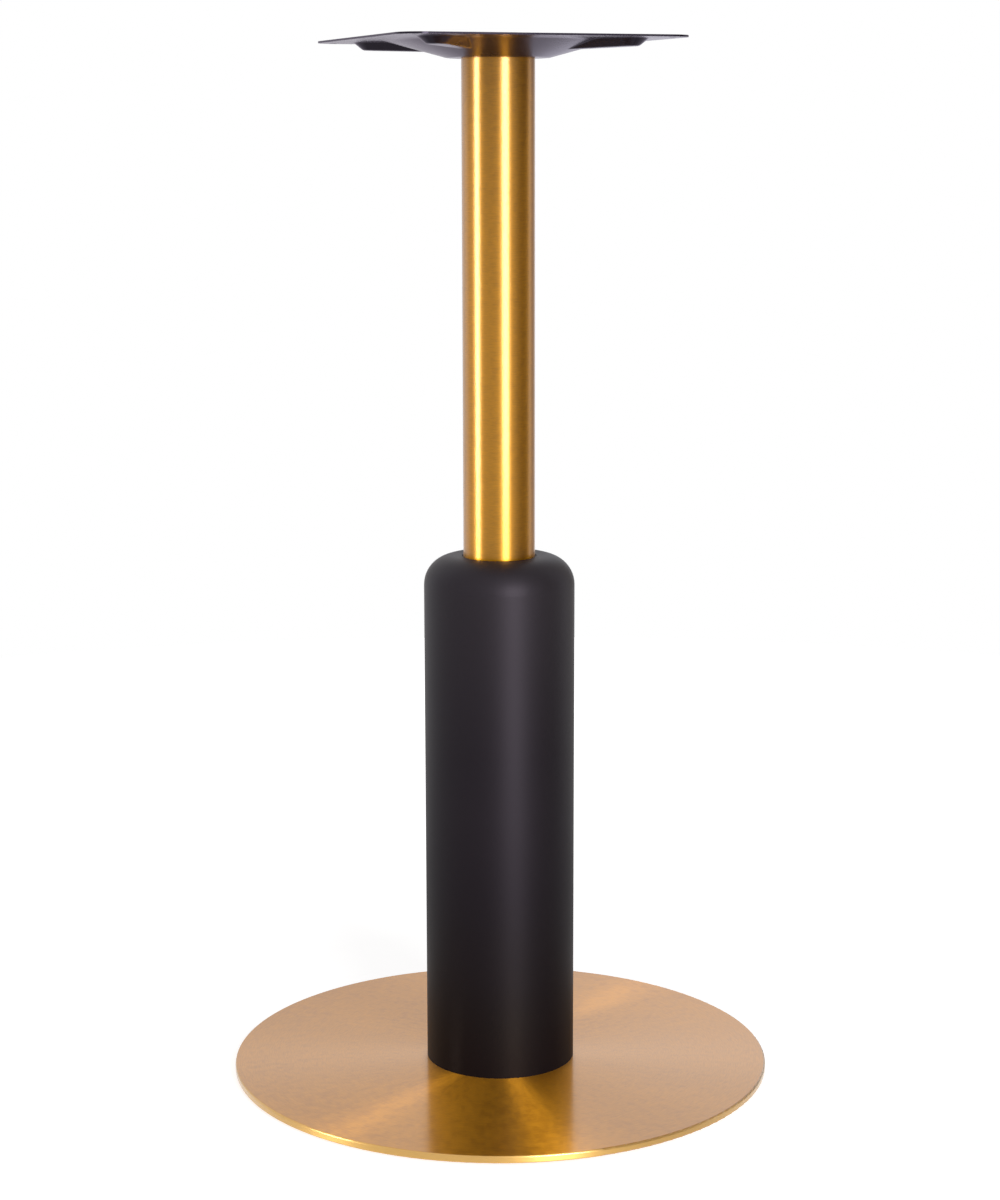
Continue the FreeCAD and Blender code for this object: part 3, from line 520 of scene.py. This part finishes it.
ridge_size = put(rolled_thread, "ShaderNodeCombineXYZ", {
    "X": number_from(rolled_thread, "SUBTRACT", given["Crest radius"], given["Root radius"]),
    "Y": number_from(rolled_thread, "MULTIPLY", given["Pitch"], 0.46),
    "Z": 1.0,
}).outputs[0]
ridge = put(rolled_thread, "GeometryNodeTransform", {"Geometry": diamond, "Scale": ridge_size}).outputs[0]
thread = put(rolled_thread, "GeometryNodeCurveToMesh", {
    "Curve": helix, "Profile Curve": ridge, "Fill Caps": True,
}).outputs[0]
thread_foot = put(rolled_thread, "ShaderNodeCombineXYZ", {
    "Z": number_from(rolled_thread, "ADD", given["Foot"], given["Pitch"]),
}).outputs[0]
raised = put(rolled_thread, "GeometryNodeTransform", {
    "Geometry": thread, "Translation": thread_foot,
}).outputs[0]
core_and_thread = put(rolled_thread, "GeometryNodeJoinGeometry")
for part in (given["Geometry"], raised):
    rolled_thread.links.new(part, core_and_thread.inputs[0])
end_shape_tree(rolled_thread, given, core_and_thread.outputs[0])

rod_low, rod_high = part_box("tie_rod")
rod_core = 0.0051
end_face = rod_core - 0.0006
end_taper = 0.0008
rod = turned("threaded_rod", [
    (0.0, rod_low.z), (end_face, rod_low.z), (rod_core, rod_low.z + end_taper),
    (rod_core, rod_high.z - end_taper), (end_face, rod_high.z), (0.0, rod_high.z),
], steps=20)
run_shape_tree(rod, rolled_thread, {"Foot": rod_low.z, "Length": rod_high.z - rod_low.z}, zinc)
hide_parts("tie_rod")
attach(rod, "root")


# Top plate
# One sheet of 2 mm steel, 305 mm square, pressed into a shallow dish with an arm towards each corner,
# drilled for four table-top screws and stove-enamelled in semi-gloss black.

black_enamel, tree, shader, place = new_finish("black_enamel")
flow = noise(tree, place, 220.0, 3.0)
haze = noise(tree, place, 16.0, 4.0)
feed(tree, shader, {
    "Metallic": 0.50,
    "Specular IOR Level": 0.36,
    "Specular Tint": (0.88, 0.79, 1.0, 1.0),
    "Base Color": tones(tree, haze, [
        (0.35, (0.010, 0.008, 0.013)), (0.60, (0.014, 0.011, 0.018)), (0.75, (0.018, 0.014, 0.023)),
    ]),
    "Roughness": spread(tree, haze, 0.22, 0.34),
    "Normal": relief(tree, flow, 0.035, 0.00012),
})
solids["top_plate"].material_slots[0].material = black_enamel


# Washers and nut
# A wide flat washer, a split spring washer and a hexagon nut, all zinc-plated, pull the plate's boss
# down on the tube. They lie in the dish, below the rim, so that a table top clears them.

for node in ("top_washer", "spring_washer", "top_nut"):
    solids[node].material_slots[0].material = zinc


# Studio
# Upright soft boxes at the left and at the front right draw the pale strips on the tube and the fan of
# streaks on the disc. Floor and surround look white, and the finishes mirror a ring of pale and dark
# panels. The camera stands where the photograph was taken from.

camera_side = math.radians(-110.5)


def facing(offset):
    """A level direction, turned by some degrees from the camera's side to the picture's right."""
    angle = camera_side + math.radians(offset)
    return Vector((math.cos(angle), math.sin(angle), 0.0))


def soft_box(name, offset, distance, width, height, middle, radiance):
    """An upright soft box that is aimed at the column, with its middle at some height."""
    lamp = bpy.data.lights.new(name, "AREA")
    lamp.shape = "RECTANGLE"
    lamp.size = width
    lamp.size_y = height
    lamp.energy = radiance * math.pi * width * height
    stand = bpy.data.objects.new(name, lamp)
    stand.location = facing(offset) * distance + Vector((0.0, 0.0, middle))
    beam = Vector((0.0, 0.0, 0.6)) - stand.location
    stand.rotation_euler = beam.to_track_quat("-Z", "Y").to_euler()
    bpy.context.scene.collection.objects.link(stand)
    return stand


def lamp_pieces(name, nodes, link_state):
    """The pieces that a lamp is for (INCLUDE), or all pieces but these (EXCLUDE)."""
    pieces = bpy.data.collections.new(name)
    for node in nodes:
        pieces.objects.link(solids[node])
    for member in pieces.collection_objects:
        member.light_linking.link_state = link_state
    return pieces


# The black pieces take no highlight from the left box, and the tube takes two brighter ones of its own
left = -70.5
front_right = 21.5
left_box = soft_box("left_soft_box", left, 2.8, width=0.74, height=1.2, middle=0.72, radiance=10.5)
soft_box("front_soft_box", front_right, 2.9, width=1.00, height=1.7, middle=0.95, radiance=16.0)
all_but_black = lamp_pieces("all_but_black", ("sleeve", "top_plate"), "EXCLUDE")
left_box.light_linking.receiver_collection = all_but_black
tube_only = lamp_pieces("tube_only", ("column_tube",), "INCLUDE")
for strip in (
    soft_box("left_strip", left, 2.7, width=0.72, height=1.2, middle=0.72, radiance=17.0),
    soft_box("front_strip", front_right, 2.8, width=0.97, height=1.7, middle=0.95, radiance=10.0),
):
    strip.light_linking.receiver_collection = tube_only


def by_ray(tree, kind, others, these):
    """A shader that differs for one kind of ray, such as those to the camera."""
    inputs = {0: put(tree, "ShaderNodeLightPath").outputs[kind], 1: others, 2: these}
    return put(tree, "ShaderNodeMixShader", inputs).outputs[0]


def greys(tree, factor, stops):
    """A grey ramp over a factor: stops of position and brightness."""
    return tones(tree, factor, [(position, (grey, grey, grey)) for position, grey in stops])


# Panels round the studio: degrees from the camera's side, and shade, of which the dark ones are warmer
panels = (
    (-180.0, 1.10), (-172.0, 0.94), (-138.0, 0.94), (-122.0, 1.38), (-106.0, 1.0), (-40.0, 1.10),
    (52.0, 1.10), (66.0, 0.58), (84.0, 0.30), (98.0, 0.28), (107.0, 0.60), (116.0, 1.60),
    (126.0, 0.80), (138.0, 0.45), (152.0, 0.62), (164.0, 1.18), (172.0, 1.26), (180.0, 1.18),
)
scene = bpy.context.scene
world = bpy.data.worlds.new("studio")
scene.world = world
world.use_nodes = True
tree = world.node_tree
tree.nodes.clear()
way = put(tree, "ShaderNodeTexCoord").outputs["Generated"]
to_right = vector_from(tree, "DOT_PRODUCT", {0: way, 1: facing(90.0)})
to_camera = vector_from(tree, "DOT_PRODUCT", {0: way, 1: facing(0.0)})
around = number_from(tree, "ARCTAN2", to_right, to_camera)
panel_tone = tones(tree, spread(tree, around, 0.0, 1.0, -math.pi, math.pi), [
    ((angle + 180.0) / 360.0, (shade, 0.985 * shade ** 1.12, shade ** 1.25)) for angle, shade in panels
])
by_height = greys(tree, height_of(tree, way), ((0.0, 1.0), (0.05, 0.86), (0.25, 0.88), (0.80, 1.0)))
mirrored = put(tree, "ShaderNodeBackground", {"Color": panel_tone, "Strength": by_height}).outputs[0]
room_light = put(tree, "ShaderNodeBackground", {"Color": (1.0, 0.99, 0.98, 1.0), "Strength": 0.35}).outputs[0]
white = put(tree, "ShaderNodeBackground", {"Color": (1.0, 1.0, 1.0, 1.0), "Strength": 1.0}).outputs[0]
unseen = by_ray(tree, "Is Glossy Ray", room_light, mirrored)
put(tree, "ShaderNodeOutputWorld", {"Surface": by_ray(tree, "Is Camera Ray", unseen, white)})

# The floor takes the shadow, whitens away from the base, and gives the finishes a pale ring to mirror
floor = bpy.data.objects.new("floor", bpy.data.meshes.new("floor"))
scene.collection.objects.link(floor)
shape = bmesh.new()
bmesh.ops.create_circle(shape, cap_ends=True, segments=96, radius=2.4)
shape.to_mesh(floor.data)
shape.free()
floor_paint = bpy.data.materials.new("floor_paint")
floor_paint.use_nodes = True
tree = floor_paint.node_tree
tree.nodes.clear()
away = vector_from(tree, "LENGTH", {0: put(tree, "ShaderNodeTexCoord").outputs["Object"]})
matt = put(tree, "ShaderNodeBsdfDiffuse", {"Color": (0.60, 0.59, 0.59, 1.0)}).outputs[0]
whitening = put(tree, "ShaderNodeEmission", {
    "Color": (1.0, 1.0, 1.0, 1.0), "Strength": spread(tree, away, 0.73, 1.0, 0.45, 1.3),
}).outputs[0]
pale_ring = put(tree, "ShaderNodeEmission", {
    "Color": greys(tree, away, ((0.29, 0.6), (0.42, 0.4), (0.55, 0.0), (0.85, 0.08), (1.00, 0.35))),
    "Strength": 1.0,
}).outputs[0]
seen = put(tree, "ShaderNodeAddShader", {0: matt, 1: whitening}).outputs[0]
mirrored = put(tree, "ShaderNodeAddShader", {0: matt, 1: pale_ring}).outputs[0]
unseen = by_ray(tree, "Is Glossy Ray", matt, mirrored)
put(tree, "ShaderNodeOutputMaterial", {"Surface": by_ray(tree, "Is Camera Ray", unseen, seen)})
floor.data.materials.append(floor_paint)

# The camera's numbers were fitted to the outlines of the photographed base
camera_distance = 2.6535
camera_height = 1.0045
down = math.radians(10.779)
heading = camera_side + math.pi / 2
roll = math.radians(-0.124)
camera = bpy.data.objects.new("camera", bpy.data.cameras.new("camera"))
camera.data.sensor_fit = "VERTICAL"
camera.data.sensor_height = 36.0
camera.data.lens = 76.08
camera.data.shift_x = 0.00054
camera.data.shift_y = 0.01367
camera.data.clip_end = 50.0
aim = Matrix.Rotation(heading, 3, "Z") @ Matrix.Rotation(math.pi / 2 - down, 3, "X")
camera.rotation_euler = (aim @ Matrix.Rotation(roll, 3, "Z")).to_euler()
camera.location = facing(0.0) * camera_distance + Vector((0.0, 0.0, camera_height))
scene.collection.objects.link(camera)
scene.camera = camera
scene.view_settings.view_transform = "Standard"
